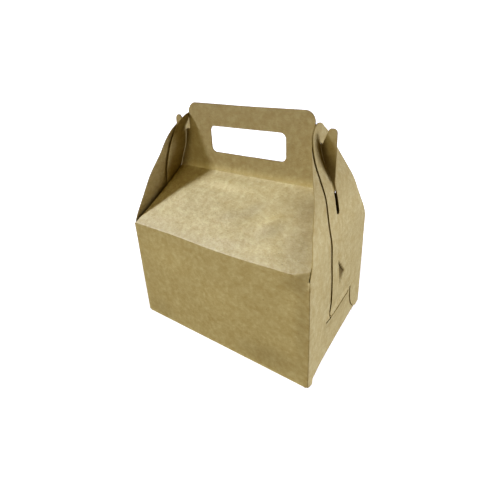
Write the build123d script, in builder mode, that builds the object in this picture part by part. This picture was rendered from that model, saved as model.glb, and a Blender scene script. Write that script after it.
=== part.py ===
"""Gable-top takeout box of kraft board, folded from one sheet, with a carrying handle.

Origin at the middle of the base, +Z up, the long front panel facing -Y. Millimetres.
"""

import os

from build123d import *

os.makedirs("parts", exist_ok=True)

# Board: its thickness, the air between two layers of it, and the outside radius of a fold
board = 0.5
layer_gap = 0.2
fold_radius = 0.6

# Body, over its outside faces, and the short relief at the ends of each fold
length = 180.0
depth = 123.5
body_height = 102.0
fold_relief = 1.0

# Roof slopes and the two handle sheets
roof_rise = 41.0
roof_clearance = 0.4
handle_rise = 62.0
handle_half = 63.5
handle_corner = 8.5
handle_gap = 0.3
hole_length = 78.0
hole_height = 24.4
hole_rise = 30.6
hole_corner = 5.0

# Ears of the handle sheets, outside the side walls, and the notch beside each ear
ear_half = 81.3
ear_rise = 49.7
ear_tip_width = 6.0
ear_foot_rise = 4.0
notch_rise = 37.0
notch_width = 6.0
notch_inset = 0.7

# Side walls: upright to just above the shoulder, then leaning in to the ears and the peak
straight_rise = 6.5
ridge_lean = 7.4
knee_rise = 30.0
knee_lean = 20.6
peak_rise = 53.2
peak_lean = 23.0
lean_radius = 60.0
peak_radius = 14.0

# Outer flap of the right-hand wall, folded off the back panel
gable_half = 34.0
gable_rise = 60.0
gable_bulge = 5.0
edge_middle = 19.5
edge_low = 17.2
edge_rise = 23.0
edge_radius = 300.0
leg_inner = 31.5
leg_knee = 34.0
leg_toe = 51.0
leg_bulge = 5.0

# Inner flap of the right-hand wall, folded off the front panel
shoulder_half = 41.0
shoulder_rise = 36.5
neck_half = 18.5
neck_rise = 67.5
neck_radius = 25.0
inner_edge = 22.0
strip_height = 60.0
strip_end_gap = 2.0
strip_corner = 6.0

# Slot for the ears, through both flaps
slot_width = 5.4
slot_drop = 18.2
slot_rise = 38.0

# Tongue of the outer flap, tucked through a slit in the inner one
slit_height = 38.0
slit_width = 1.3
slit_front = 27.0
tongue_drop = 18.0
tongue_taper = 5.0
tongue_clearance = 0.7
jog_half = 0.35
jog_lap = 3.0

# Curved nick in the outer flap
nick_top = (-5.4, 86.5)
nick_middle = (0.5, 77.5)
nick_end = (11.0, 66.5)
nick_width = 0.6

# Flap folded up from the end of the base, inside the walls
end_flap_height = 30.0
end_flap_half = 58.0
end_flap_taper = 9.0
end_flap_lap = 12.0

# Heights and places that follow from the sizes above
ridge_height = body_height + roof_rise
handle_top = ridge_height + handle_rise
peak_height = ridge_height + peak_rise
panel_top = body_height - fold_relief
pitch = board + layer_gap
wall_face = length / 2
back_face = depth / 2
bend_radius = fold_radius - board / 2
base_half = wall_face - 3 * pitch - fold_radius
peak = (0, peak_height)


def wall_path(layer):
    """Middle line, in XZ, of one board layer of the right-hand wall, counted from outside."""
    x = wall_face - board / 2 - layer * pitch
    return [
        (x, fold_relief),
        (x, body_height + straight_rise),
        (x - ridge_lean, ridge_height),
        (x - knee_lean, ridge_height + knee_rise),
        (x - peak_lean, peak_height + fold_relief),
    ]


# Front half of the long strip: base, front panel, roof slope and handle sheet
front_line = (board - depth) / 2
handle_line = -(handle_gap + board) / 2
roof_half = wall_face - pitch - board - roof_clearance
ridge_half = roof_half - ridge_lean - roof_clearance
ear_top = ridge_height + ear_rise
notch_height = ridge_height + notch_rise
notch_half = handle_half + notch_inset

# Front view of the roof slope and handle sheet, as x, z and corner radius
lid = [
    (roof_half, panel_top, 0),
    (ridge_half, ridge_height, 0),
    (ear_half, ridge_height + ear_foot_rise, 0),
    (ear_half, ear_top, 0.55 * ear_tip_width),
    (ear_half - ear_tip_width, ear_top, 0.35 * ear_tip_width),
    (notch_half + notch_width, notch_height, 0.45 * notch_width),
    (notch_half, notch_height, 0.45 * notch_width),
    (handle_half, handle_top, handle_corner),
]
front_outline = [
    (base_half, 0, 0),
    (base_half, fold_relief, 0),
    (wall_face - pitch, fold_relief, 0),
    (wall_face - pitch, panel_top, 0),
    *lid,
    *[(-x, z, radius) for x, z, radius in reversed(lid)],
    (-wall_face, panel_top, 0),
    (-wall_face, fold_relief, 0),
    (-base_half, fold_relief, 0),
    (-base_half, 0, 0),
]

with BuildPart() as front_strip:
    with BuildSketch(Plane.YZ):
        with BuildLine():
            FilletPolyline(
                (0, board / 2),
                (front_line, board / 2),
                (front_line, body_height),
                (handle_line, ridge_height),
                (handle_line, handle_top),
                radius=bend_radius,
            )
        trace(line_width=board)
    extrude(amount=wall_face, both=True)
    with BuildSketch(Plane.XZ):
        with BuildLine():
            FilletPolyline(
                [(x, z) for x, z, radius in front_outline],
                radius=[radius for x, z, radius in front_outline],
                close=True,
            )
        make_face()
        with Locations((0, ridge_height + hole_rise)):
            RectangleRounded(hole_length, hole_height, hole_corner, mode=Mode.SUBTRACT)
    extrude(amount=depth, both=True, mode=Mode.INTERSECT)

# Outer flap: the whole back half of the right-hand wall and the middle of it
slot_middle = ridge_height + (slot_rise - slot_drop) / 2
slot_length = slot_rise + slot_drop
gable_end = (gable_half, body_height + gable_rise)
jog_top = slit_height + jog_half

with BuildPart() as outer_flap:
    with BuildSketch(Plane.XZ):
        with BuildLine():
            FilletPolyline(wall_path(0), radius=lean_radius)
        trace(line_width=board)
    extrude(amount=back_face, both=True)
    with BuildSketch(Plane.YZ):
        with BuildLine():
            SagittaArc(gable_end, peak, -gable_bulge)
            JernArc(peak, (-1, 0), peak_radius, 90)
            FilletPolyline(
                (-peak_radius, peak_height - peak_radius),
                (-edge_middle, body_height + edge_rise),
                (-edge_low, jog_top),
                radius=edge_radius,
            )
            Polyline((-edge_low, jog_top), (leg_inner, jog_top), (leg_inner, leg_knee))
            SagittaArc((leg_inner, leg_knee), (leg_toe, fold_relief), -leg_bulge)
            Polyline(
                (leg_toe, fold_relief),
                (back_face, fold_relief),
                (back_face, panel_top),
                (back_face - fold_relief, panel_top),
                gable_end,
            )
        make_face()
        with Locations((0, slot_middle)):
            SlotOverall(slot_length, slot_width, rotation=90, mode=Mode.SUBTRACT)
        with BuildLine():
            ThreePointArc(nick_top, nick_middle, nick_end)
        trace(line_width=nick_width, mode=Mode.SUBTRACT)
    extrude(amount=length, mode=Mode.INTERSECT)

# Tongue: the outer flap carries on down through the slit and behind the inner flap
tongue_back = leg_inner - tongue_clearance
tongue_end = slit_height - tongue_drop
outer_line = wall_face - board / 2
with BuildPart() as tongue:
    with BuildSketch(Plane.XZ):
        with BuildLine():
            FilletPolyline(
                (outer_line, jog_top + jog_lap),
                (outer_line, jog_top),
                (outer_line - 2 * pitch, slit_height - jog_half),
                (outer_line - 2 * pitch, tongue_end),
                radius=bend_radius,
            )
        trace(line_width=board)
    extrude(amount=back_face, both=True)
    with BuildSketch(Plane.YZ):
        with BuildLine():
            Polyline(
                (-edge_low, jog_top + jog_lap),
                (-edge_low, slit_height - tongue_taper),
                (-edge_low + tongue_taper, tongue_end),
                (tongue_back - tongue_taper, tongue_end),
                (tongue_back, slit_height - tongue_taper),
                (tongue_back, jog_top + jog_lap),
                close=True,
            )
        make_face()
    extrude(amount=length, mode=Mode.INTERSECT)

# Inner flap: the front of the right-hand wall, and a low strip across to the back
slit_back = leg_inner + tongue_clearance
strip_back = back_face - strip_end_gap
shoulder = (-shoulder_half, body_height + shoulder_rise)
neck = (-neck_half, body_height + neck_rise)
with BuildPart() as inner_flap:
    with BuildSketch(Plane.XZ):
        with BuildLine():
            FilletPolyline(wall_path(1), radius=lean_radius)
        trace(line_width=board)
    extrude(amount=back_face, both=True)
    with BuildSketch(Plane.YZ):
        with BuildLine():
            Polyline(
                (-back_face, fold_relief),
                (-back_face, panel_top),
                (fold_relief - back_face, panel_top),
            )
            FilletPolyline(
                (fold_relief - back_face, panel_top),
                shoulder,
                neck,
                (-peak_radius, peak_height - peak_radius),
                radius=neck_radius,
            )
            JernArc((-peak_radius, peak_height - peak_radius), (0, 1), peak_radius, -180)
            FilletPolyline(
                (peak_radius, peak_height - peak_radius),
                (inner_edge, ridge_height),
                (inner_edge, strip_height),
                (strip_back, strip_height),
                (strip_back, fold_relief),
                (-back_face, fold_relief),
                radius=[neck_radius, strip_corner, strip_corner, 0],
            )
        make_face()
        with Locations((0, slot_middle)):
            SlotOverall(slot_length, slot_width, rotation=90, mode=Mode.SUBTRACT)
        with Locations(((slit_back - slit_front) / 2, slit_height)):
            SlotOverall(slit_back + slit_front, slit_width, mode=Mode.SUBTRACT)
    extrude(amount=length, mode=Mode.INTERSECT)

# End flap, folded up from the base
end_line = wall_face - 3 * pitch - board / 2
with BuildPart() as end_flap:
    with BuildSketch(Plane.XZ):
        with BuildLine():
            FilletPolyline(
                (base_half - end_flap_lap, board / 2),
                (end_line, board / 2),
                (end_line, end_flap_height),
                radius=bend_radius,
            )
        trace(line_width=board)
    extrude(amount=end_flap_half, both=True)
    with BuildSketch(Plane.YZ):
        with BuildLine():
            Polyline(
                (-end_flap_half, 0),
                (end_flap_half, 0),
                (end_flap_half - end_flap_taper, end_flap_height),
                (end_flap_taper - end_flap_half, end_flap_height),
                close=True,
            )
        make_face()
    extrude(amount=length, mode=Mode.INTERSECT)

# The folded box: each wall, flap and strip appears twice, half a turn apart
with BuildPart() as takeout_box:
    for sheet in (front_strip, outer_flap, tongue, inner_flap, end_flap):
        add(sheet.part)
        add(sheet.part, rotation=(0, 0, 180))
    corners = [
        edge
        for edge in takeout_box.edges().filter_by(Axis.Z)
        if abs(edge.center().Y) > back_face - board / 4
        and abs(edge.center().X) > wall_face - pitch - board / 4
    ]
    fillet(corners, radius=fold_radius)

takeout_box.part.label = "takeout_box"
export_step(takeout_box.part, "parts/takeout_box.step")
print("takeout_box solids", len(takeout_box.solids()), "volume", round(takeout_box.part.volume))
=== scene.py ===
"""Looks of the kraft takeout box: its one folded sheet, the board, the light and the camera.

Half of the blank is drawn flat and divided into triangles. The other half is the same, turned half a turn.
Both halves are folded, joined along the base, bent as the photograph shows and given the board's thickness.
Sizes of the box are in millimetres, as on its drawing. The scene is in metres.
"""

import math

import bpy
import numpy as np
from mathutils import Matrix, Vector, kdtree
from mathutils.geometry import delaunay_2d_cdt


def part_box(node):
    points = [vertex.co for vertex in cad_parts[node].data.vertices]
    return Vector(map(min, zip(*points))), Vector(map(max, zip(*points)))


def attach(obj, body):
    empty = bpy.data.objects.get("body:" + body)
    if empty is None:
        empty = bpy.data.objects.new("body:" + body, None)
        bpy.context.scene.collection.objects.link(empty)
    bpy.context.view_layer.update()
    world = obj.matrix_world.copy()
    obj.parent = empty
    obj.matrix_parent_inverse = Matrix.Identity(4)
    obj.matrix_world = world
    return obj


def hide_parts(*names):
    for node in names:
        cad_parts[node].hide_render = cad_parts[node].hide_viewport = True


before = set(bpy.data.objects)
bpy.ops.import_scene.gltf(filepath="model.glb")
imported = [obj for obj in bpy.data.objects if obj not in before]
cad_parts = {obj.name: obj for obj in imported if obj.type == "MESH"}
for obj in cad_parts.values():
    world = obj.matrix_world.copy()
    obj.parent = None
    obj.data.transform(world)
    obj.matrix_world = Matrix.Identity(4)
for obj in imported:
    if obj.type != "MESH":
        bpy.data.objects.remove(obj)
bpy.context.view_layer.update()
NODE = "takeout_box"
MM = 0.001

# Overall sizes, from the frame
low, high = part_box(NODE)
length = (high[0] - low[0]) / MM
depth = (high[1] - low[1]) / MM
handle_top = high[2] / MM

# Board, and the middle radius of its folds
board = 0.5
layer_gap = 0.2
bend_radius = 0.35
pitch = board + layer_gap

# Heights, and the lid: roof slopes, handle sheets and ears
body_height = 102.0
ridge_height = 143.0
fold_relief = 1.0
handle_half = 63.5
handle_corner = 8.5
handle_gap = 0.3
hole_length = 78.0
hole_height = 24.4
hole_rise = 30.6
hole_corner = 5.0
roof_clearance = 0.4
ear_half = 81.3
ear_rise = 49.7
ear_tip_width = 6.0
ear_foot_rise = 4.0
notch_rise = 37.0
notch_width = 6.0
notch_inset = 0.7

# Side walls: upright, then leaning in
straight_rise = 6.5
ridge_lean = 7.4
knee_rise = 30.0
knee_lean = 20.6
peak_rise = 53.2
peak_lean = 23.0
lean_radius = 60.0
peak_radius = 14.0

# Outer flap of a side wall, its tongue and its curved leg
gable_half = 34.0
gable_rise = 60.0
gable_bulge = 5.0
edge_middle = 19.5
edge_low = 17.2
edge_rise = 23.0
edge_radius = 300.0
leg_inner = 31.5
leg_knee = 34.0
leg_toe = 51.0
leg_bulge = 5.0
tongue_drop = 18.0
tongue_taper = 5.0
tongue_clearance = 0.7
jog_half = 0.35

# Inner flap, with the low strip across to the far end
shoulder_half = 41.0
shoulder_rise = 36.5
neck_half = 18.5
neck_rise = 67.5
neck_radius = 25.0
inner_edge = 22.0
strip_height = 60.0
strip_end_gap = 2.0
strip_corner = 6.0

# Slot, slit and nick
slot_width = 5.4
slot_drop = 18.2
slot_rise = 38.0
slit_height = 38.0
slit_width = 1.3
slit_front = 27.0
nick_top = (-5.4, 86.5)
nick_end = (11.0, 66.5)
nick_sag = 1.1
nick_width = 0.5

# End flap of the base
end_flap_height = 30.0
end_flap_half = 58.0
end_flap_taper = 9.0

# How the board is bent out of true. A pair is the middle, start or end of a bend, and its reach.
# Side walls lean in across their middles, and ripple
shoulder_bow = 1.2
shoulder_bow_heights = (113.0, 42.0)
foot_bow = 0.5
foot_bow_heights = (0.0, 45.0)
ripple = 0.22
ripple_heights = (60.0, 75.0)
ripple_waves = [(9.0, 21.0, 0.8), (-40.0, 15.0, 0.0)]
bowed_from = (45.0, 38.0)

# Long panels stand out, and their upper folds sag, as side, middle and drop. The roof is drawn in at the left
panel_bulge = 1.1
sagging_folds = [(-1, 16.0, 1.3), (1, -20.0, 0.9)]
sag_reach = 64.0
sag_fade = 48.0
sag_outwards = 0.5
roof_gap = 1.1
roof_gap_from = (62.0, 26.0)

# Front right corner stands out, and the left peak is askew
corner_out = 1.3
corner_reach = 34.0
corner_from = (66.0, 22.0)
corner_heights = (40.0, 110.0)
left_neck_out = 1.5
left_neck_heights = (177.0, 15.0)
left_peak_in = 2.2
left_peak_from = (183.0, 13.0)

# Outer flaps: their free edge is lifted, and on the right the front edge of the slot lies close to the ear
lift_reach = 9.0
edge_lift_low = 0.12
edge_lift = 0.25
edge_lift_rise = 4.0
peak_lift = 0.5
peak_lift_rise = 38.0
lip_shift = 1.5
lip_reach = 11.0
lip_from = (145.0, 12.0)
lip_until = (190.0, 12.0)

# Inner flaps: their free edge is drawn in. On the left it also spreads forwards, and the slot moves back
inner_lift = 1.5
inner_lift_from = (72.0, 30.0)
inner_lift_fade = 24.0
inner_spread = 6.5
inner_spread_heights = (170.0, 32.0)
inner_spread_from = (8.0, 10.0)
inner_shift = 1.5
inner_shift_height = 80.0
inner_shift_reach = 14.0

# Dents of the board as x, distance up the slope or panel, long reach, short reach, turn and height.
# They fade out near the side walls and near the folds
dent_margin = 14.0
dent_fold_share = 1 / 7
front_roof_dents = [
    (42, 34, 18, 8, 50, 0.75),
    (24, 38, 20, 8, 50, -0.7),
    (2, 34, 16, 9, 35, 0.35),
    (-14, 62, 34, 7, 0, 0.45),
    (-32, 28, 22, 12, 70, -0.3),
    (-52, 40, 20, 10, 110, 0.35),
    (60, 20, 20, 9, 120, -0.3),
    (70, 46, 18, 9, 80, 0.28),
    (12, 12, 26, 9, 10, 0.3),
    (-62, 14, 22, 9, 20, 0.25),
]
back_roof_dents = [
    (-40, 30, 22, 9, 60, 0.6),
    (-10, 44, 24, 10, 20, -0.5),
    (30, 24, 20, 9, 120, 0.5),
    (58, 46, 22, 10, 80, -0.4),
    (-66, 52, 18, 9, 100, 0.35),
]
front_dents = [
    (-60, 24, 30, 16, 60, -0.35),
    (62, 20, 34, 16, 130, -0.45),
    (20, 60, 40, 22, 20, 0.3),
    (-40, 76, 34, 16, 160, 0.3),
    (70, 80, 24, 12, 60, -0.35),
]
back_dents = [
    (48, 30, 34, 18, 50, -0.5),
    (-30, 66, 40, 20, 150, 0.4),
    (-66, 28, 24, 14, 80, -0.3),
]

# Painted light and shade on the board: even changes over whole parts, the roof lighter and the long panels
# darker, and painted shade and highlight spots placed as the dents are, with the change in tone
roof_painted_light = 0.27
front_painted_shade = -0.17
roof_painted_spots = [
    (22, 42, 20, 9, 45, -0.22),
    (4, 33, 16, 8, 30, -0.16),
    (48, 30, 18, 9, 40, -0.24),
    (44, 11, 26, 7, 12, 0.15),
    (80, 34, 58, 30, 96, -0.42),
    (62, 60, 36, 24, 0, -0.3),
    (-14, 58, 40, 8, 0, 0.18),
    (40, 37, 15, 5, 40, 0.18),
    (-20, 16, 64, 14, 4, 0.1),
    (-60, 26, 26, 18, 90, 0.08),
    (0, 71, 88, 7, 0, -0.12),
]
front_painted_spots = [
    (55, 14, 46, 20, 6, -0.14),
    (-70, 10, 26, 16, 0, -0.1),
    (84, 60, 60, 9, 90, -0.12),
    (78, 94, 16, 12, 0, -0.14),
    (-50, 76, 50, 24, 0, 0.06),
    (8, 52, 40, 24, 0, 0.05),
]
# Painted shade: on the handle sheets above the ridge, on the upper part of the side walls, and on the facet
# below each nick
handle_painted_shade = -0.36
handle_painted_shade_from = (141.0, 12.0)
gable_painted_shade = -0.2
gable_painted_shade_from = (122.0, 40.0)
facet_painted_shade = -0.68
facet_painted_shade_reach = 24.0
# The back half gets only a share of the painted spots, and of the painted light and shade on the roof, panels
# and handle
back_painted_spots = 0.6
back_painted_share = 0.7

# Crumpled corner at the front right, pushed in and down between two points that stay
crumple_left = (75.3, -61.75, 102.0)
crumple_back = (87.6, -56.5, 105.5)
crumple_tip = (88.4, -61.75, 102.0)
crumple_push = (-0.9, 2.3, -3.5)
crumple_limit = 1.05
crumple_fade = 13.0
crumple_curve = 1.5
crumple_depth = 12.0
crumple_height = 5.0
# Painted shade on the pushed-in facet of the lid at the crumpled corner
crumple_painted_shade = -0.3
crumple_painted_shade_share = 0.2

# Facet pushed in below the nick: its lower corner, its step at the nick, its slope, and its soft sides.
# The layer beneath is pushed in further, and from a little outside them
dent_low = (0.4, 57.5)
dent_step = 0.9
dent_slope = 0.1
dent_slope_reach = 9.0
dent_left_side = 1.2
dent_right_side = 2.4
dent_blend = 5.0
dent_clearance = 0.3
dent_lead = 0.9
dent_lap = 0.1
dented_walls = [(1, 1.0), (-1, 0.4)]

# Slits: the lower lip stands out, and the flap that goes down through the slit is pressed in
slit_lip_out = 1.6
slit_lip_fade = 12.0
slit_upper_fade = 5.0
slit_flap_in = 1.2
slit_flap_fade = 16.0
slit_margin = 3.0
slit_leg_reach = 9.0
slit_edge = 0.1

# Feet of the ears bent out, and the back handle sheet sheared up towards the left
ear_foot_out = 1.2
ear_foot_heights = (145.0, 6.0)
ear_foot_from = (74.0, 6.0)
back_sheet_tilt = 0.00025

# Foot of the wall that stands out beside the front right corner
foot_middle = -56.8
foot_reach = 5.6
foot_rise = 7.0
foot_out = 1.7

# Colours of the board's faces and rims, pale and tan, and of its few specks. The rims are darker than the
# faces: partly the board's brown core, partly painted shade along the cut edges
face_colours = ((0.60, 0.525, 0.265, 1), (0.44, 0.34, 0.133, 1))
rim_colours = ((0.40, 0.32, 0.13, 1), (0.31, 0.235, 0.085, 1))
speck_colour = (0.16, 0.10, 0.03, 1)

# Fineness of the mesh
grid_step = 2.7
edge_step = 2.0
arc_step = 0.9
fold_steps = 4
fine_step = 0.9
fine_reach = 17.0
fine_on_wall = (1.0, 75.0)
fine_at_corner = (8.0, 3.0)
nick_steps = 20
nick_taper = 3

# Places that follow from the sizes above
wall_face = length / 2
back_face = depth / 2
peak_height = ridge_height + peak_rise
panel_top = body_height - fold_relief
base_half = wall_face - 3 * pitch - bend_radius - board / 2
roof_half = wall_face - pitch - board - roof_clearance
ridge_half = roof_half - ridge_lean - roof_clearance
ear_top = ridge_height + ear_rise
notch_height = ridge_height + notch_rise
notch_half = handle_half + notch_inset
slot_middle = ridge_height + (slot_rise - slot_drop) / 2
slot_length = slot_rise + slot_drop
jog_top = slit_height + jog_half
slit_back = leg_inner + tongue_clearance
slit_middle = (slit_back - slit_front) / 2
slit_length = slit_back + slit_front
tongue_back = leg_inner - tongue_clearance

# Lift of the outer flap's free edge, by height
edge_lifts = [
    (jog_top, edge_lift_low),
    (jog_top + edge_lift_rise, edge_lift),
    (ridge_height, edge_lift),
    (ridge_height + peak_lift_rise, peak_lift),
    (peak_height, 0.0),
]


class FoldedLine:
    """A line folded at its corners, measured by the distance along it."""

    def __init__(self, corners, radius, steps=fold_steps):
        places, self.folds = [Vector(corners[0])], []
        for before, corner, after in zip(corners, corners[1:], corners[2:]):
            arc = rounded_corner(Vector(before), Vector(corner), Vector(after), radius, steps)
            self.folds.append(range(len(places), len(places) + len(arc)))
            places += arc
        places.append(Vector(corners[-1]))
        self.across = np.array([place.x for place in places])
        self.up = np.array([place.y for place in places])
        runs = np.hypot(np.diff(self.across), np.diff(self.up))
        self.distance = np.concatenate([[0.0], np.cumsum(runs)])

    def at(self, distance):
        across = np.interp(distance, self.distance, self.across)
        return across, np.interp(distance, self.distance, self.up)

    def creases(self, fold):
        """Distances of the points round one fold."""
        return [self.distance[place] for place in self.folds[fold]]


def rounded_corner(before, corner, after, radius, steps):
    """Points round one corner, from the end of the first run to the start of the next."""
    back = (before - corner).normalized()
    ahead = (after - corner).normalized()
    half_turn = (math.pi - back.angle(ahead)) / 2
    centre = corner + (back + ahead).normalized() * radius / math.cos(half_turn)
    start = corner + back * radius * math.tan(half_turn) - centre
    turn = 2 * half_turn * (1 if back.cross(ahead) < 0 else -1)
    return [centre + Matrix.Rotation(turn * step / steps, 2) @ start for step in range(steps + 1)]


def outline(corners):
    """A flat line through (u, v, radius) corners, with an arc at each radius."""
    line = []
    for number, (u, v, radius) in enumerate(corners):
        if not radius:
            line.append(Vector((u, v)))
            continue
        before, after = Vector(corners[number - 1][:2]), Vector(corners[number + 1][:2])
        steps = max(4, round(radius * math.pi / 2 / arc_step)) if radius < 20 else 12
        line += rounded_corner(before, Vector((u, v)), after, radius, steps)
    return line


def bulged(start, end, sag, steps=16):
    """Points on an arc from start to end that stands out to its right by sag."""
    start, end = Vector(start), Vector(end)
    chord = end - start
    right = Vector((chord.y, -chord.x)).normalized()
    half = chord.length / 2
    radius = (half * half + sag * sag) / (2 * sag)
    centre = (start + end) / 2 + right * (sag - radius)
    sweep = 2 * math.atan2(half, radius - sag)
    return [centre + Matrix.Rotation(sweep * k / steps, 2) @ (start - centre) for k in range(steps + 1)]


def spaced(line, step, closed=False):
    """The same line with no stretch longer than step."""
    points = []
    ends = line[1:] + line[:1] if closed else line[1:]
    for start, end in zip(line, ends):
        count = max(1, math.ceil((end - start).length / step))
        points += [start.lerp(end, k / count) for k in range(count)]
    return points if closed else points + [line[-1]]


# Folded lines: along the long strip, round a corner into each wall layer, and up the end flap
strip = FoldedLine(
    [
        (0, board / 2),
        ((board - depth) / 2, board / 2),
        ((board - depth) / 2, body_height),
        (-(handle_gap + board) / 2, ridge_height),
        (-(handle_gap + board) / 2, handle_top),
    ],
    bend_radius,
)
wall_lines = [
    FoldedLine([(0, (board - depth) / 2), (x, (board - depth) / 2), (x, depth / 2)], bend_radius)
    for x in (wall_face - board / 2, wall_face - pitch - board / 2)
]
outer_line, inner_line = wall_lines
end_x = wall_face - 3 * pitch - board / 2
end_line = FoldedLine([(0, board / 2), (end_x, board / 2), (end_x, end_flap_height)], bend_radius)
lean_line = FoldedLine(
    [
        (0, 0),
        (0, body_height + straight_rise),
        (-ridge_lean, ridge_height),
        (-knee_lean, ridge_height + knee_rise),
        (-peak_lean, peak_height + fold_relief),
    ],
    lean_radius,
    12,
)
panel_start = np.interp(body_height / 2, strip.up[2:], strip.distance[2:]) - body_height / 2


def up(z):
    """Distance along the strip of a height on the front panel, roof or handle."""
    first = strip.folds[0][-1]
    return float(np.interp(z, strip.up[first:], strip.distance[first:]))


def on_wall(line, y, z):
    """Flat place on the flap that goes round a corner: y from the front edge, z the height."""
    first = line.folds[0][-1]
    return float(np.interp(y, line.up[first:], line.distance[first:])), panel_start + z


def on_inner(y, z, radius=0):
    u, v = on_wall(inner_line, y, z)
    return u, v, radius


def on_outer(y, z, radius=0):
    """The outer flap hangs on the other panel, so its y is counted from there."""
    u, v = on_wall(outer_line, -y, z)
    return -u, v, radius


def flat(points):
    return [Vector(point[:2]) for point in points]


def slot_outline(place, middle, long, wide, steps=8):
    """A closed slot with round ends, upright on a wall flap."""
    reach = (long - wide) / 2
    points = []
    for end, start_angle in ((1, 0), (-1, math.pi)):
        for step in range(steps + 1):
            angle = start_angle + math.pi * step / steps
            y = wide / 2 * math.cos(angle)
            z = middle + end * reach + wide / 2 * math.sin(angle)
            points.append(Vector(place(y, z)[:2]))
    return points


def blank_outline():
    """Edge of half the blank, from the middle of the base at one end round to the other."""
    tip = float(end_line.distance[-1])
    top = up(panel_top)
    end_fold = float(end_line.creases(0)[-1])
    right = [
        (base_half, 0, 0),
        (end_fold, 0, 0),
        (tip, 0, 0),
        (tip, end_flap_half - end_flap_taper, 0),
        (base_half, end_flap_half, 0),
        (base_half, up(fold_relief), 0),
        on_inner(back_face - strip_end_gap, fold_relief),
        on_inner(back_face - strip_end_gap, strip_height, strip_corner),
        on_inner(inner_edge, strip_height, strip_corner),
        on_inner(inner_edge, ridge_height, neck_radius),
        on_inner(peak_radius, peak_height - peak_radius),
    ]
    inner_peak = bulged(
        on_inner(peak_radius, peak_height - peak_radius)[:2],
        on_inner(-peak_radius, peak_height - peak_radius)[:2],
        peak_radius,
        steps=28,
    )
    shoulder = [
        on_inner(-peak_radius, peak_height - peak_radius),
        on_inner(-neck_half, body_height + neck_rise, neck_radius),
        on_inner(-shoulder_half, body_height + shoulder_rise, neck_radius),
        on_inner(fold_relief - back_face, panel_top),
    ]
    lid = [
        (roof_half, top, 0),
        (ridge_half, up(ridge_height), 0),
        (ear_half, up(ridge_height + ear_foot_rise), 0),
        (ear_half, up(ear_top), 0.55 * ear_tip_width),
        (ear_half - ear_tip_width, up(ear_top), 0.35 * ear_tip_width),
        (notch_half + notch_width, up(notch_height), 0.45 * notch_width),
        (notch_half, up(notch_height), 0.45 * notch_width),
        (handle_half, up(handle_top), handle_corner),
    ]
    lid += [(-u, v, radius) for u, v, radius in reversed(lid)]
    gable = bulged(
        on_outer(gable_half, body_height + gable_rise)[:2],
        on_outer(0, peak_height)[:2],
        gable_bulge,
    )
    outer_peak = bulged(
        on_outer(0, peak_height)[:2],
        on_outer(-peak_radius, peak_height - peak_radius)[:2],
        peak_radius * (1 - math.sqrt(0.5)),
    )
    tongue_end = slit_height - tongue_drop
    free_edge = [
        on_outer(-peak_radius, peak_height - peak_radius),
        on_outer(-edge_middle, body_height + edge_rise, edge_radius),
        on_outer(-edge_low, jog_top),
        on_outer(-edge_low, slit_height - tongue_taper),
        on_outer(tongue_taper - edge_low, tongue_end),
        on_outer(tongue_back - tongue_taper, tongue_end),
        on_outer(tongue_back, slit_height - tongue_taper),
        on_outer(tongue_back, jog_top),
        on_outer(leg_inner, jog_top),
    ]
    leg = bulged(
        on_outer(leg_inner, leg_knee)[:2],
        on_outer(leg_toe, fold_relief)[:2],
        leg_bulge,
    )
    left = [
        (-base_half, up(fold_relief), 0),
        (-base_half, end_flap_half, 0),
        (-tip, end_flap_half - end_flap_taper, 0),
        (-tip, 0, 0),
        (-end_fold, 0, 0),
        (-base_half, 0, 0),
    ]
    line = outline(right) + inner_peak[1:-1] + outline(shoulder) + outline(lid)
    line += [Vector(on_outer(back_face - fold_relief, panel_top)[:2])] + gable + outer_peak[1:-1]
    line += outline(free_edge) + leg + outline(left)
    return line


def blank_holes():
    """Edges of the hand hole, the two slots, the slit and the nick."""
    half, rise = hole_length / 2, hole_height / 2
    middle = up(ridge_height + hole_rise)
    corners = [(-half, -rise), (half, -rise), (half, rise), (-half, rise)]
    corners = [(u, middle + v, hole_corner) for u, v in corners]
    hand = outline([(0, middle - rise, 0)] + corners[1:] + corners[:1] + [(0, middle - rise, 0)])[:-1]
    slit = slot_outline(
        lambda z, y: on_inner(y - slit_height + slit_middle, z + slit_height),
        slit_height,
        slit_length,
        slit_width,
        steps=4,
    )
    cut = bulged(nick_top, nick_end, nick_sag, nick_steps)
    across = Vector((nick_top[1] - nick_end[1], nick_end[0] - nick_top[0])).normalized() * nick_width / 2
    ends = [min(k, nick_steps - k) / nick_steps for k in range(nick_steps + 1)]
    wide = [across * min(1, nick_taper * end) for end in ends]
    nick = [place + gap for place, gap in zip(cut, wide)]
    nick += [place - gap for place, gap in zip(cut, wide)][-2:0:-1]
    nick = [on_outer(place.x, place.y) for place in nick]
    slots = [slot_outline(place, slot_middle, slot_length, slot_width) for place in (on_inner, on_outer)]
    return [hand, slit, flat(nick)] + slots


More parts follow.
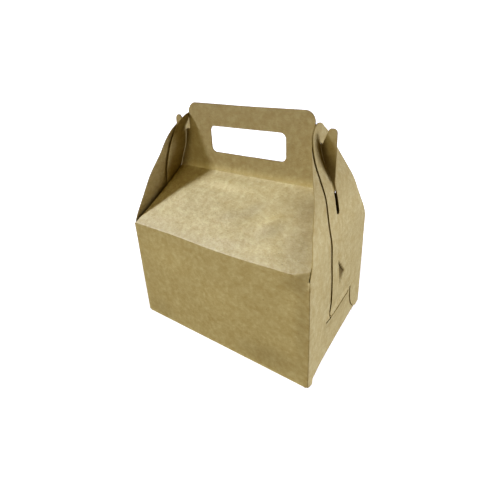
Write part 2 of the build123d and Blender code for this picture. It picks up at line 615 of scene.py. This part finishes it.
class Blank:
    """Half of the flat blank, divided into triangles that follow its edges and creases."""

    def __init__(self):
        self.points, self.edges = [], []
        loops = [anticlockwise(loop) for loop in [blank_outline()] + blank_holes()]
        faces = [self.add(spaced(loop, edge_step, closed=True), closed=True) for loop in loops]
        for crease in blank_creases():
            self.add(spaced(crease, edge_step))
        self.add_grid()
        made = delaunay_2d_cdt(self.points, self.edges, faces, 0, 1e-4, True)
        inside = [face for face, origin in zip(made[2], made[5]) if origin == [0]]
        used = sorted({corner for face in inside for corner in face})
        number = {old: new for new, old in enumerate(used)}
        self.places = np.array([made[0][old] for old in used])
        self.faces = np.array([[number[corner] for corner in face] for face in inside])

    def add(self, line, closed=False):
        """Adds a line's points and edges, and returns the points' numbers."""
        first = len(self.points)
        numbers = list(range(first, first + len(line)))
        self.points += line
        self.edges += list(zip(numbers, numbers[1:]))
        if closed:
            self.edges.append((numbers[-1], first))
        return numbers

    def add_grid(self):
        """Fills the sheet with evenly spaced points, closer where it is dented."""
        near = kdtree.KDTree(len(self.points))
        for number, point in enumerate(self.points):
            near.insert((point.x, point.y, 0), number)
        near.balance()
        widest = max(point.x for point in self.points)
        tallest = max(point.y for point in self.points)
        fine = [(Vector(place[:2]), reach) for place, reach in dented_places()]
        grid = grid_points(-widest, widest, grid_step / 2, tallest, grid_step)
        grid = [p for p in grid if all((p - place).length > reach for place, reach in fine)]
        for place, reach in fine:
            close = grid_points(place.x - reach, place.x + reach, place.y - reach, place.y + reach, fine_step)
            grid += [p for p in close if (p - place).length < reach]
        for point in grid:
            room = fine_step if any((point - place).length < reach for place, reach in fine) else grid_step
            if near.find((point.x, point.y, 0))[2] > 0.5 * room:
                self.points.append(point)


def anticlockwise(loop):
    turns = sum(start.cross(end) for start, end in zip(loop, loop[1:] + loop[:1]))
    return loop if turns > 0 else loop[::-1]


def grid_points(left, right, bottom, top, step):
    """Points in staggered rows, each the same distance from its neighbours."""
    rows = math.ceil((top - bottom) / (step * math.sqrt(0.75)))
    columns = math.ceil((right - left) / step)
    return [
        Vector((left + (column + row % 2 / 2) * step, bottom + row * step * math.sqrt(0.75)))
        for row in range(rows)
        for column in range(columns)
    ]


def blank_creases():
    """Lines of the blank that its folds run along."""
    creases = []
    for fold, reach in ((0, base_half), (1, roof_half), (2, ridge_half)):
        creases += [[Vector((-reach, v)), Vector((reach, v))] for v in strip.creases(fold)]
    for line, sign in ((inner_line, 1), (outer_line, -1)):
        for u in line.creases(0):
            creases.append([Vector((sign * u, up(fold_relief))), Vector((sign * u, up(panel_top)))])
    for u in end_line.creases(0):
        creases += [[Vector((sign * u, 0)), Vector((sign * u, end_flap_half))] for sign in (1, -1)]
    for z in (jog_top + jog_half, jog_top, slit_height - jog_half, slit_height - 2 * jog_half):
        ends = [on_outer(y, z)[:2] for y in (-edge_low, tongue_back)]
        creases.append(flat(ends))
    return creases


def dented_places():
    """Middles and reach of the places that need small triangles."""
    inwards, rise = fine_at_corner
    return [
        (on_outer(*fine_on_wall), fine_reach),
        ((roof_half - inwards, up(body_height + rise)), fine_reach),
    ]


def fold_up(blank):
    """Folded places of the half blank, and which part of the box each is on."""
    u, v = blank.places[:, 0], blank.places[:, 1]
    side, reach = np.sign(u), np.abs(u)
    y, z = strip.at(v)
    x = u.copy()
    part = np.where(v < up(body_height), PANEL, np.where(v < up(ridge_height), ROOF, HANDLE))
    part[v < up(fold_relief) - 0.01] = BASE
    for line, sign, flap in ((inner_line, 1, INNER), (outer_line, -1, OUTER)):
        start = line.creases(0)[0]
        here = (side == sign) & (reach > start - 0.001) & (v > up(fold_relief) - 0.01)
        across, along = line.at(reach[here])
        z[here] = v[here] - panel_start
        y[here] = along
        x[here] = sign * (across + lean(z[here]))
        part[here] = np.where(reach[here] > line.creases(0)[-1] - 0.001, flap, PANEL)
    here = (part == OUTER) & (z < jog_top + jog_half) & (-y < leg_inner - tongue_clearance / 2)
    here &= -y > -edge_low - 1
    x[here] += 2 * pitch * np.clip((jog_top - z[here]) / (2 * jog_half), 0, 1)
    part[here & (z < jog_top)] = TONGUE
    here = (part == BASE) & (reach > end_line.creases(0)[0] - 0.001)
    across, z[here] = end_line.at(reach[here])
    x[here] = side[here] * across
    y[here] = -v[here]
    part[here & (z > 1)] = END
    return np.stack([x, y, z], axis=1), part


def lean(z):
    """How far a wall leans in at a height, as a change in x."""
    return np.interp(z, lean_line.up, lean_line.across)


BASE, PANEL, ROOF, HANDLE, INNER, OUTER, TONGUE, END = range(8)


class Sheet:
    """The whole folded sheet as its middle surface, before it gets its thickness."""

    def __init__(self):
        blank = Blank()
        folded, part = fold_up(blank)
        count = len(folded)
        self.places = np.concatenate([folded, folded * (-1, -1, 1)])
        self.part = np.concatenate([part, part])
        self.back = np.repeat([False, True], count)
        self.flat = np.concatenate([blank.places, blank.places * (-1, -1)])
        self.faces = np.concatenate([blank.faces, blank.faces + count])
        self.join(count)

    def join(self, count):
        """Joins the halves along the middle of the base."""
        middle = np.flatnonzero(np.abs(self.flat[:count, 1]) < 0.001)
        by_place = {round(self.flat[number, 0], 2): number for number in middle}
        twin = np.arange(len(self.places))
        for number in middle:
            twin[number + count] = by_place[round(-self.flat[number, 0] + 0.0, 2)]
        keep = np.flatnonzero(twin == np.arange(len(twin)))
        number = np.full(len(twin), -1)
        number[keep] = np.arange(len(keep))
        self.faces = number[twin[self.faces]]
        for name in ("places", "part", "back", "flat"):
            setattr(self, name, getattr(self, name)[keep])

    def normals(self):
        """Unit normals of the sheet at its points, outwards."""
        a, b, c = (self.places[self.faces[:, corner]] for corner in range(3))
        across = np.cross(b - a, c - a)
        across /= np.linalg.norm(across, axis=1, keepdims=True)
        total = np.zeros_like(self.places)
        for corner in range(3):
            here, one, other = (self.places[self.faces[:, (corner + k) % 3]] for k in range(3))
            one, other = one - here, other - here
            cosine = (one * other).sum(1) / (np.linalg.norm(one, axis=1) * np.linalg.norm(other, axis=1))
            angle = np.arccos(np.clip(cosine, -1, 1))
            np.add.at(total, self.faces[:, corner], across * angle[:, None])
        return total / np.linalg.norm(total, axis=1, keepdims=True)

    def rims(self):
        """Edges that have a face on one side only, in the order of that face."""
        edges = np.concatenate([self.faces[:, [k, (k + 1) % 3]] for k in range(3)])
        seen = {(b, a) for a, b in edges.tolist()}
        return np.array([edge for edge in edges.tolist() if tuple(edge) not in seen])


def hill(distance):
    """1 in the middle, falling smoothly to 0 at a distance of 1."""
    return np.clip(1 - distance * distance, 0, 1) ** 2


def step_up(value):
    """0 up to 0, rising smoothly to 1 at 1."""
    value = np.clip(value, 0, 1)
    return value * value * (3 - 2 * value)


def past(value, start, reach):
    """0 up to start, rising smoothly to 1 a reach further on."""
    return step_up((value - start) / reach)


def until(value, end, reach):
    """0 from end on, rising smoothly to 1 a reach before it."""
    return step_up((end - value) / reach)


def around(value, middle, reach):
    """1 at middle, falling smoothly to 0 a reach away."""
    return hill((value - middle) / reach)


def dents(x, rise, table):
    """Height of the dents of one panel at places on it. The same sum gives the spots of painted light and
    shade.
    """
    height = np.zeros_like(x)
    for middle, up_there, long, short, turn, tall in table:
        turn = math.radians(turn)
        along = (x - middle) * math.cos(turn) + (rise - up_there) * math.sin(turn)
        across = (rise - up_there) * math.cos(turn) - (x - middle) * math.sin(turn)
        height += tall * hill(np.hypot(along / long, across / short))
    return height


def panel_rise(sheet, here, part):
    """Distance up a panel or roof slope, and the share of its height."""
    bottom, tall, slope = {
        ROOF: (body_height, ridge_height - body_height, math.hypot(ridge_height - body_height, back_face)),
        PANEL: (0, body_height, body_height),
    }[part]
    share = (sheet.places[here, 2] - bottom) / tall
    return share * slope, share


def painted_light_and_shade(sheet):
    """Painted light and shade of the board at each place, as an addition to its even tone."""
    tone = np.zeros(len(sheet.places))
    for part, even, table in ((ROOF, roof_painted_light, roof_painted_spots), (PANEL, front_painted_shade, front_painted_spots)):
        here = sheet.part == part
        rise, _ = panel_rise(sheet, here, part)
        turned = np.where(sheet.back[here], -1, 1)
        spots = dents(sheet.places[here, 0] * turned, rise, table)
        tone[here] = spots * np.where(sheet.back[here], back_painted_spots, 1) + even
    # Painted shade on the handle sheets above the ridge
    top = sheet.part == HANDLE
    tone[top] = handle_painted_shade * past(sheet.places[top, 2], *handle_painted_shade_from)
    tone[sheet.back] *= back_painted_share
    # Painted shade on the upper side walls, and on the facet below each nick
    for side, share in dented_walls:
        here, below, sides = nick_facet(sheet, side)
        facet = (below > 0) * np.clip(sides, 0, 1) * np.clip(1 - below / facet_painted_shade_reach, 0, 1)
        tone[here] = gable_painted_shade * past(sheet.places[here, 2], *gable_painted_shade_from) + share * facet_painted_shade * facet
    return tone


def beside(place, start, end):
    """Distance of places to the right of a line."""
    way = (np.array(end) - start) / math.dist(start, end)
    return (place[:, 0] - start[0]) * way[1] - (place[:, 1] - start[1]) * way[0]


def nick_facet(sheet, side):
    """Points of a wall, and how far each is below its nick and inside the facet's sides."""
    here = np.isin(sheet.part, (INNER, OUTER)) & (side * sheet.places[:, 0] > 0)
    place = np.stack([side * sheet.places[here, 1], sheet.places[here, 2]], axis=1)
    sides = np.minimum(
        beside(place, dent_low, nick_top) / dent_left_side,
        beside(place, nick_end, dent_low) / dent_right_side,
    )
    return here, beside(place, nick_top, nick_end), sides


def dent_panels(sheet):
    """Soft dents in the roof slopes and long panels, none at folds and ends, and the bulge of the panels."""
    x, y, z = sheet.places.T
    slope = math.hypot(ridge_height - body_height, back_face)
    lean_out = (ridge_height - body_height) / slope
    for part, out, rising, front, back in (
        (ROOF, lean_out, back_face / slope, front_roof_dents, back_roof_dents),
        (PANEL, 1, 0, front_dents, back_dents),
    ):
        here = (sheet.part == part) & (np.abs(x) < roof_half)
        rise, share = panel_rise(sheet, here, part)
        away = until(np.abs(x[here]), wall_face, dent_margin)
        away *= past(share, 0, dent_fold_share) * until(share, 1, dent_fold_share)
        height = np.where(sheet.back[here], dents(x[here], rise, back), dents(x[here], rise, front)) * away
        if part == PANEL:
            height += panel_bulge * hill(x[here] / wall_face) * hill(2 * share - 1)
        y[here] -= np.where(sheet.back[here], -1, 1) * height * out
        z[here] += height * rising


def draw_in_roof(sheet):
    """Draws the left edge of the front roof slope in from the wall, most half way up."""
    here = (sheet.part == ROOF) & ~sheet.back & (sheet.places[:, 0] < 0)
    _, share = panel_rise(sheet, here, ROOF)
    middle = np.sin(math.pi * np.clip(share, 0, 1))
    sheet.places[here, 0] += roof_gap * past(-sheet.places[here, 0], *roof_gap_from) * middle


def crumple_corner(sheet):
    """Pushes the front right corner of the lid in and down, as one flat facet, and paints shade on the facet.
    """
    x, y, z = sheet.places.T
    left, back, tip = (Vector(corner) for corner in (crumple_left, crumple_back, crumple_tip))
    hinge = (back - left).to_2d()
    out = Vector((hinge.y, -hinge.x)).normalized()
    reach = (tip - left).to_2d().dot(out)
    lid = sheet.part == ROOF
    share = (x - left.x) * out.x + np.where(lid, (np.minimum(y, 0) - left.y) * out.y, 0)
    share = np.clip(share / reach, 0, crumple_limit)
    below = np.clip(1 - (body_height - z) / crumple_fade, 0, 1) ** crumple_curve
    edge = np.clip((wall_face - board / 2 - x) / (wall_face - board / 2 - tip.x), 0, 1)
    front = ((sheet.part == PANEL) | lid) & (y < crumple_depth - back_face) & (x > left.x)
    front &= (z > body_height - crumple_fade) & (z < body_height + crumple_height)
    amount = np.where(front, share * below * edge, 0)
    sheet.places = sheet.places + amount[:, None] * np.array(crumple_push)
    # Painted shade on the lid's pushed-in facet
    sheet.tone = sheet.tone + np.where(lid, crumple_painted_shade * step_up(amount / crumple_painted_shade_share), 0)


def dent_wall(sheet):
    """Pushes in the facet below the nick, on both layers of each wall."""
    for side, share in dented_walls:
        here, below, sides = nick_facet(sheet, side)
        inner = sheet.part[here] == INNER
        above = np.where(inner, np.clip(1 + below / dent_blend, 0, 1), below > -dent_lap)
        push = dent_step + dent_slope * np.clip(below, 0, dent_slope_reach)
        push = (push + np.where(inner, dent_clearance, 0)) * np.where(below < 0, above, 1)
        sides = np.where(inner, sides + dent_lead + np.clip(-below, 0, None), sides)
        sheet.places[here, 0] -= side * share * push * np.clip(sides, 0, 1)


def lift_outer_flaps(sheet):
    """Lifts the free edge of each outer flap, and brings the right slot's front edge up to the ear."""
    x, y, z = sheet.places.T
    outer = sheet.part == OUTER
    heights = [jog_top, body_height + edge_rise, peak_height]
    edge = np.interp(z, heights, [-edge_low, -edge_middle, -peak_radius])
    near = np.clip(1 - (np.sign(x) * y - edge) / lift_reach, 0, 1) ** 2
    x = np.where(outer, x + np.sign(x) * near * np.interp(z, *zip(*edge_lifts)), x)
    half = slot_width / 2
    lip = np.where(y < -half, around(y, -half, lip_reach), np.clip(-y / half, 0, 1))
    lip *= past(z, *lip_from) * until(z, *lip_until)
    y = np.where(outer & (x > 0), y + lip_shift * lip, y)
    sheet.places = np.stack([x, y, z], axis=1)


def shift_inner_flaps(sheet):
    """Draws the free edge of each inner flap in. On the left, spreads it forwards and moves the slot back."""
    x, y, z = sheet.places.T
    inner = sheet.part == INNER
    heights = [ridge_height, body_height + neck_rise, peak_height]
    edge = np.interp(z, heights, [inner_edge, neck_half, peak_radius])
    near = np.clip(1 - (edge - np.sign(x) * y) / lift_reach, 0, 1) ** 1.5
    draw = inner_lift * past(z, *inner_lift_from) * until(z, peak_height, inner_lift_fade)
    x = np.where(inner, x - np.sign(x) * near * draw, x)
    left = inner & sheet.back
    y = np.where(left, y - inner_spread * around(z, *inner_spread_heights) * past(-y, *inner_spread_from), y)
    slot = around(z, slot_middle, inner_shift_height) * hill(y / inner_shift_reach)
    y = np.where(left, y + inner_shift * slot, y)
    sheet.places = np.stack([x, y, z], axis=1)


def part_slits(sheet):
    """Stands the lower lip of each slit out, and presses in the flap that goes down through it."""
    x, y, z = sheet.places.T
    side, across = np.sign(x), np.sign(x) * y
    along = np.clip(1 - ((across - slit_middle) / (slit_length / 2 + slit_margin)) ** 4, 0, 1)
    along *= until(across, leg_inner, slit_leg_reach)
    lip = slit_height - slit_width / 2 + slit_edge
    covered = past(across, -edge_low - slit_margin, slit_margin)
    above = (z > lip) & (sheet.part == INNER)
    out = above * around(z, lip, slit_upper_fade) * (1 - covered)
    out = slit_lip_out * np.where(z <= lip, around(z, lip, slit_lip_fade), out)
    below = (np.abs(x) > base_half - 1) & (sheet.part != OUTER) & (z > 1)
    flap = np.where((sheet.part == OUTER) & (z > jog_top), 1, above * covered)
    press = slit_flap_in * flap * around(z, jog_top, slit_flap_fade)
    sheet.places[:, 0] += side * along * (np.where(below, out, 0) - press)


def bend_handle_sheets(sheet):
    """Bends the feet of the ears out, and shears the left half of the back handle sheet upwards."""
    x, y, z = sheet.places.T
    handle = sheet.part == HANDLE
    foot = around(z, *ear_foot_heights) * past(np.abs(x), *ear_foot_from)
    x = np.where(handle, x + np.sign(x) * ear_foot_out * foot, x)
    z = np.where(handle & sheet.back & (x < 0), z - back_sheet_tilt * x * (z - ridge_height), z)
    sheet.places = np.stack([x, y, z], axis=1)


def bend_whole(sheet):
    """Bends that carry every layer: bowed walls, sagging folds, the left peak, the corner and its foot."""
    x, y, z = sheet.places.T
    across = np.clip(1 - (y / back_face) ** 2, 0, 1)
    bow = shoulder_bow * around(z, *shoulder_bow_heights) + foot_bow * around(z, *foot_bow_heights)
    waves = [np.sin(y / along + z / rise + shift) for along, rise, shift in ripple_waves]
    bow += ripple * waves[0] * waves[1] * around(z, *ripple_heights)
    x = x - np.sign(x) * across * bow * past(np.abs(x), *bowed_from)
    for side, middle, drop in sagging_folds:
        sag = drop * np.clip(side * y / back_face, 0, 1) ** 2 * around(x, middle, sag_reach)
        sag *= np.where(z < body_height, around(z, body_height, sag_fade), 1)
        z = z - sag
        y = y + side * sag_outwards * sag
    corner = around(y, -back_face, corner_reach) * past(x, *corner_from) * around(z, *corner_heights)
    x = x + corner_out * corner
    askew = left_peak_in * past(z, *left_peak_from) - left_neck_out * around(z, *left_neck_heights)
    x = np.where((x < 0) & np.isin(sheet.part, (INNER, OUTER)), x + askew, x)
    foot = around(y, foot_middle, foot_reach) * np.clip(1 - z / foot_rise, 0, 1)
    x = np.where(x > base_half, x + foot_out * foot, x)
    sheet.places = np.stack([x, y, z], axis=1)


def thicken(sheet, name):
    """Mesh of the board: outer face, inner face and the cut rim between them."""
    count = len(sheet.places)
    normals = sheet.normals()
    rims = sheet.rims()
    places = np.concatenate([sheet.places + normals * board / 2, sheet.places - normals * board / 2])
    faces = sheet.faces.tolist() + (sheet.faces[:, ::-1] + count).tolist()
    faces += [[b, a, a + count, b + count] for a, b in rims.tolist()]
    mesh = bpy.data.meshes.new(name)
    mesh.from_pydata((places * MM).tolist(), [], faces)
    mesh.polygons.foreach_set("use_smooth", [True] * len(faces))
    rim = np.zeros(len(faces), dtype=np.int32)
    rim[2 * len(sheet.faces) :] = 1
    mesh.polygons.foreach_set("material_index", rim)
    sharp = {tuple(sorted(edge)) for edge in rims.tolist()}
    sharp |= {(a + count, b + count) for a, b in sharp}
    edges = np.zeros(len(mesh.edges) * 2, dtype=np.int32)
    mesh.edges.foreach_get("vertices", edges)
    marks = [tuple(sorted(edge)) in sharp for edge in edges.reshape(-1, 2).tolist()]
    mesh.edges.foreach_set("use_edge_sharp", marks)
    corners = np.zeros(len(mesh.loops), dtype=np.int32)
    mesh.loops.foreach_get("vertex_index", corners)
    blank_map = mesh.uv_layers.new(name="blank")
    blank_map.uv.foreach_set("vector", (sheet.flat[corners % count] * MM).ravel())
    # The tone attribute carries the painted light and shade, on both faces
    tone = mesh.attributes.new("tone", "FLOAT", "POINT")
    tone.data.foreach_set("value", np.concatenate([sheet.tone, sheet.tone]))
    return mesh


sheet = Sheet()
# Painted light and shade of the board, kept as its tone
sheet.tone = painted_light_and_shade(sheet)
for bend in (
    dent_panels,
    draw_in_roof,
    crumple_corner,
    dent_wall,
    lift_outer_flaps,
    shift_inner_flaps,
    part_slits,
    bend_handle_sheets,
    bend_whole,
):
    bend(sheet)
mesh = thicken(sheet, "folded_board")
board_piece = bpy.data.objects.new("folded_board", mesh)
bpy.context.scene.collection.objects.link(board_piece)
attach(board_piece, "root")
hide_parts(NODE)


class Shading:
    """A material's nodes, made one at a time with their inputs."""

    def __init__(self, name):
        self.material = bpy.data.materials.new(name)
        self.material.use_nodes = True
        self.tree = self.material.node_tree
        self.shader = self.tree.nodes["Principled BSDF"]

    def node(self, kind, inputs, output=0, **settings):
        """Adds a node and returns one of its outputs."""
        node = self.tree.nodes.new("ShaderNode" + kind)
        for name, value in settings.items():
            setattr(node, name, value)
        for socket, value in inputs.items():
            self.feed(node.inputs[socket], value)
        return node.outputs[output]

    def feed(self, socket, value):
        if isinstance(value, bpy.types.NodeSocket):
            self.tree.links.new(value, socket)
        else:
            socket.default_value = value

    def noise(self, place, scale, detail, roughness):
        inputs = {"Vector": place, "Scale": scale, "Detail": detail, "Roughness": roughness}
        return self.node("TexNoise", inputs)

    def fibres(self, place, turn, scale, stretch):
        """Noise drawn out along one direction."""
        inputs = {"Vector": place, "Rotation": (0, 0, turn), "Scale": (scale, scale * stretch, scale)}
        return self.noise(self.node("Mapping", inputs), 1, 2, 0.6)

    def spread(self, value, low, high, to_low=0.0, to_high=1.0):
        """Takes low to high on to another range, clamped."""
        inputs = {"Value": value, "From Min": low, "From Max": high, "To Min": to_low, "To Max": to_high}
        return self.node("MapRange", inputs)

    def blend(self, share, one, other, kind="MIX"):
        node = self.tree.nodes.new("ShaderNodeMix")
        node.data_type, node.blend_type = "RGBA", kind
        self.feed(node.inputs[0], share)
        self.feed(node.inputs[6], one)
        self.feed(node.inputs[7], other)
        return node.outputs[2]

    def sum(self, one, other, factor=1.0):
        """one + other * factor"""
        return self.node("Math", {0: other, 1: factor, 2: one}, operation="MULTIPLY_ADD")


def kraft(name, pale, tan, gloss):
    """Uncoated kraft board: cloudy, mottled, with short fibres in every direction and a few specks."""
    board_look = Shading(name)
    place = board_look.node("UVMap", {}, uv_map="blank")
    cloud = board_look.noise(place, 95, 3, 0.55)
    mottle = board_look.noise(place, 270, 5, 0.66)
    grain = board_look.noise(place, 1500, 2, 0.6)
    fibre = board_look.fibres(place, 0.35, 380, 5)
    for turn, scale in ((1.4, 340), (2.35, 460)):
        fibre = board_look.sum(fibre, board_look.fibres(place, turn, scale, 5))
    tone = board_look.sum(mottle, cloud, 0.7)
    tone = board_look.sum(tone, fibre, 0.34)
    tone = board_look.sum(tone, grain, 0.34)
    colour = board_look.blend(board_look.spread(tone, 1.24, 1.70), tan, pale)
    hue = board_look.spread(board_look.noise(place, 210, 2, 0.5), 0.35, 0.65, 0, 0.5)
    colour = board_look.blend(hue, colour, tan)
    speck = board_look.noise(place, 760, 1, 0.5)
    colour = board_look.blend(board_look.spread(speck, 0.73, 0.78, 0, 0.7), colour, speck_colour)
    # The tone attribute holds painted light and shade. It multiplies the colour, green and blue more steeply,
    # so painted shade turns warmer and painted light paler
    change = board_look.node("Attribute", {}, 2, attribute_name="tone")
    change = board_look.sum(1.0, change)
    green = board_look.node("Math", {0: change, 1: 1.1}, operation="POWER")
    blue = board_look.node("Math", {0: change, 1: 1.25}, operation="POWER")
    shade = board_look.node("CombineColor", {0: change, 1: green, 2: blue})
    colour = board_look.blend(1.0, colour, shade, "MULTIPLY")
    board_look.feed(board_look.shader.inputs["Base Color"], colour)
    board_look.shader.inputs["Specular IOR Level"].default_value = gloss
    rough = board_look.spread(mottle, 0.3, 0.7, 0.44, 0.56)
    board_look.feed(board_look.shader.inputs["Roughness"], rough)
    height = board_look.sum(board_look.sum(mottle, fibre, 0.12), grain, 0.16)
    bump = board_look.node("Bump", {"Height": height, "Strength": 1.0, "Distance": 0.00036})
    board_look.feed(board_look.shader.inputs["Normal"], bump)
    return board_look.material


mesh.materials.append(kraft("kraft_face", *face_colours, gloss=1.0))
mesh.materials.append(kraft("kraft_rim", *rim_colours, gloss=0.1))


def make_camera():
    """Camera at the photograph's viewing angle, fitted to the box's corners."""
    place = Vector((0.1724, -0.2483, 0.2504))
    right = Vector((0.8322, 0.5529, -0.0413))
    down = Vector((0.1759, -0.3339, -0.9261))
    ahead = Vector((-0.5258, 0.7634, -0.3751))
    data = bpy.data.cameras.new("camera")
    picture, focal, centre_row = 500, 356.27, 191.5
    data.sensor_width = 36
    data.lens = data.sensor_width * focal / picture
    data.shift_y = (centre_row - picture / 2) / picture
    data.clip_start = 0.01
    camera = bpy.data.objects.new("camera", data)
    turn = Matrix((right, -down, -ahead)).transposed().to_quaternion()
    camera.matrix_world = Matrix.Translation(place) @ turn.to_matrix().to_4x4()
    bpy.context.scene.collection.objects.link(camera)
    bpy.context.scene.camera = camera


def make_lights():
    """Key light from the front left, a broad one from the back right, a low fill and a dim warm surround."""
    for name, way, spread, strength, colour in (
        ("key", (0.62, 0.564, -0.545), 11, 2.1, (0.96, 1.02, 1.26)),
        ("back_right", (-0.74, -0.53, -0.3), 34, 3.5, (0.96, 1.02, 1.38)),
        ("front_fill", (0.25, 1, 0.3), 20, 1.1, (1, 0.95, 0.8)),
    ):
        data = bpy.data.lights.new(name, "SUN")
        data.angle = math.radians(spread)
        data.energy = strength
        data.color = colour
        light = bpy.data.objects.new(name, data)
        light.visible_glossy = name == "key"
        light.rotation_mode = "QUATERNION"
        light.rotation_quaternion = Vector(way).to_track_quat("-Z", "Y")
        bpy.context.scene.collection.objects.link(light)
    world = bpy.data.worlds.new("surround")
    world.use_nodes = True
    nodes, links = world.node_tree.nodes, world.node_tree.links
    way = nodes.new("ShaderNodeTexCoord")
    split = nodes.new("ShaderNodeSeparateXYZ")
    rise = nodes.new("ShaderNodeMapRange")
    mix = nodes.new("ShaderNodeMix")
    mix.data_type = "RGBA"
    rise.inputs["From Min"].default_value = -0.3
    rise.inputs["From Max"].default_value = 0.1
    mix.inputs[6].default_value = (0.15, 0.115, 0.055, 1)
    mix.inputs[7].default_value = (0.105, 0.066, 0.008, 1)
    links.new(way.outputs["Generated"], split.inputs[0])
    links.new(split.outputs[2], rise.inputs["Value"])
    links.new(rise.outputs[0], mix.inputs[0])
    links.new(mix.outputs[2], nodes["Background"].inputs["Color"])
    bpy.context.scene.world = world


def make_floor():
    """A plain pale floor and a white wall far behind it, wide enough to fill the view."""
    reach, rise, sides = 5.0, 2.0, 32
    turns = [2 * math.pi * k / sides for k in range(sides)]
    ring = [(reach * math.cos(turn), reach * math.sin(turn)) for turn in turns]
    floor_mesh = bpy.data.meshes.new("floor")
    floor_mesh.from_pydata([(x, y, 0) for x, y in ring], [], [range(sides)])
    wall_mesh = bpy.data.meshes.new("backdrop")
    wall_faces = [(k, (k + 1) % sides, sides + (k + 1) % sides, sides + k) for k in range(sides)]
    wall_mesh.from_pydata([(x, y, z) for z in (0, rise) for x, y in ring], [], wall_faces)
    for name, shape, glow in (("floor", floor_mesh, 0.5), ("backdrop", wall_mesh, 1.0)):
        look = Shading(name)
        look.shader.inputs["Base Color"].default_value = (0.9, 0.9, 0.9, 1)
        look.shader.inputs["Roughness"].default_value = 0.9
        look.shader.inputs["Emission Color"].default_value = (1, 1, 1, 1)
        look.shader.inputs["Emission Strength"].default_value = glow
        shape.materials.append(look.material)
        piece = bpy.data.objects.new(name, shape)
        piece.visible_diffuse = False
        piece.visible_glossy = False
        piece.visible_shadow = False
        bpy.context.scene.collection.objects.link(piece)


make_camera()
make_lights()
make_floor()
bpy.context.scene.view_settings.view_transform = "Standard"
bpy.context.scene.view_settings.look = "Medium High Contrast"
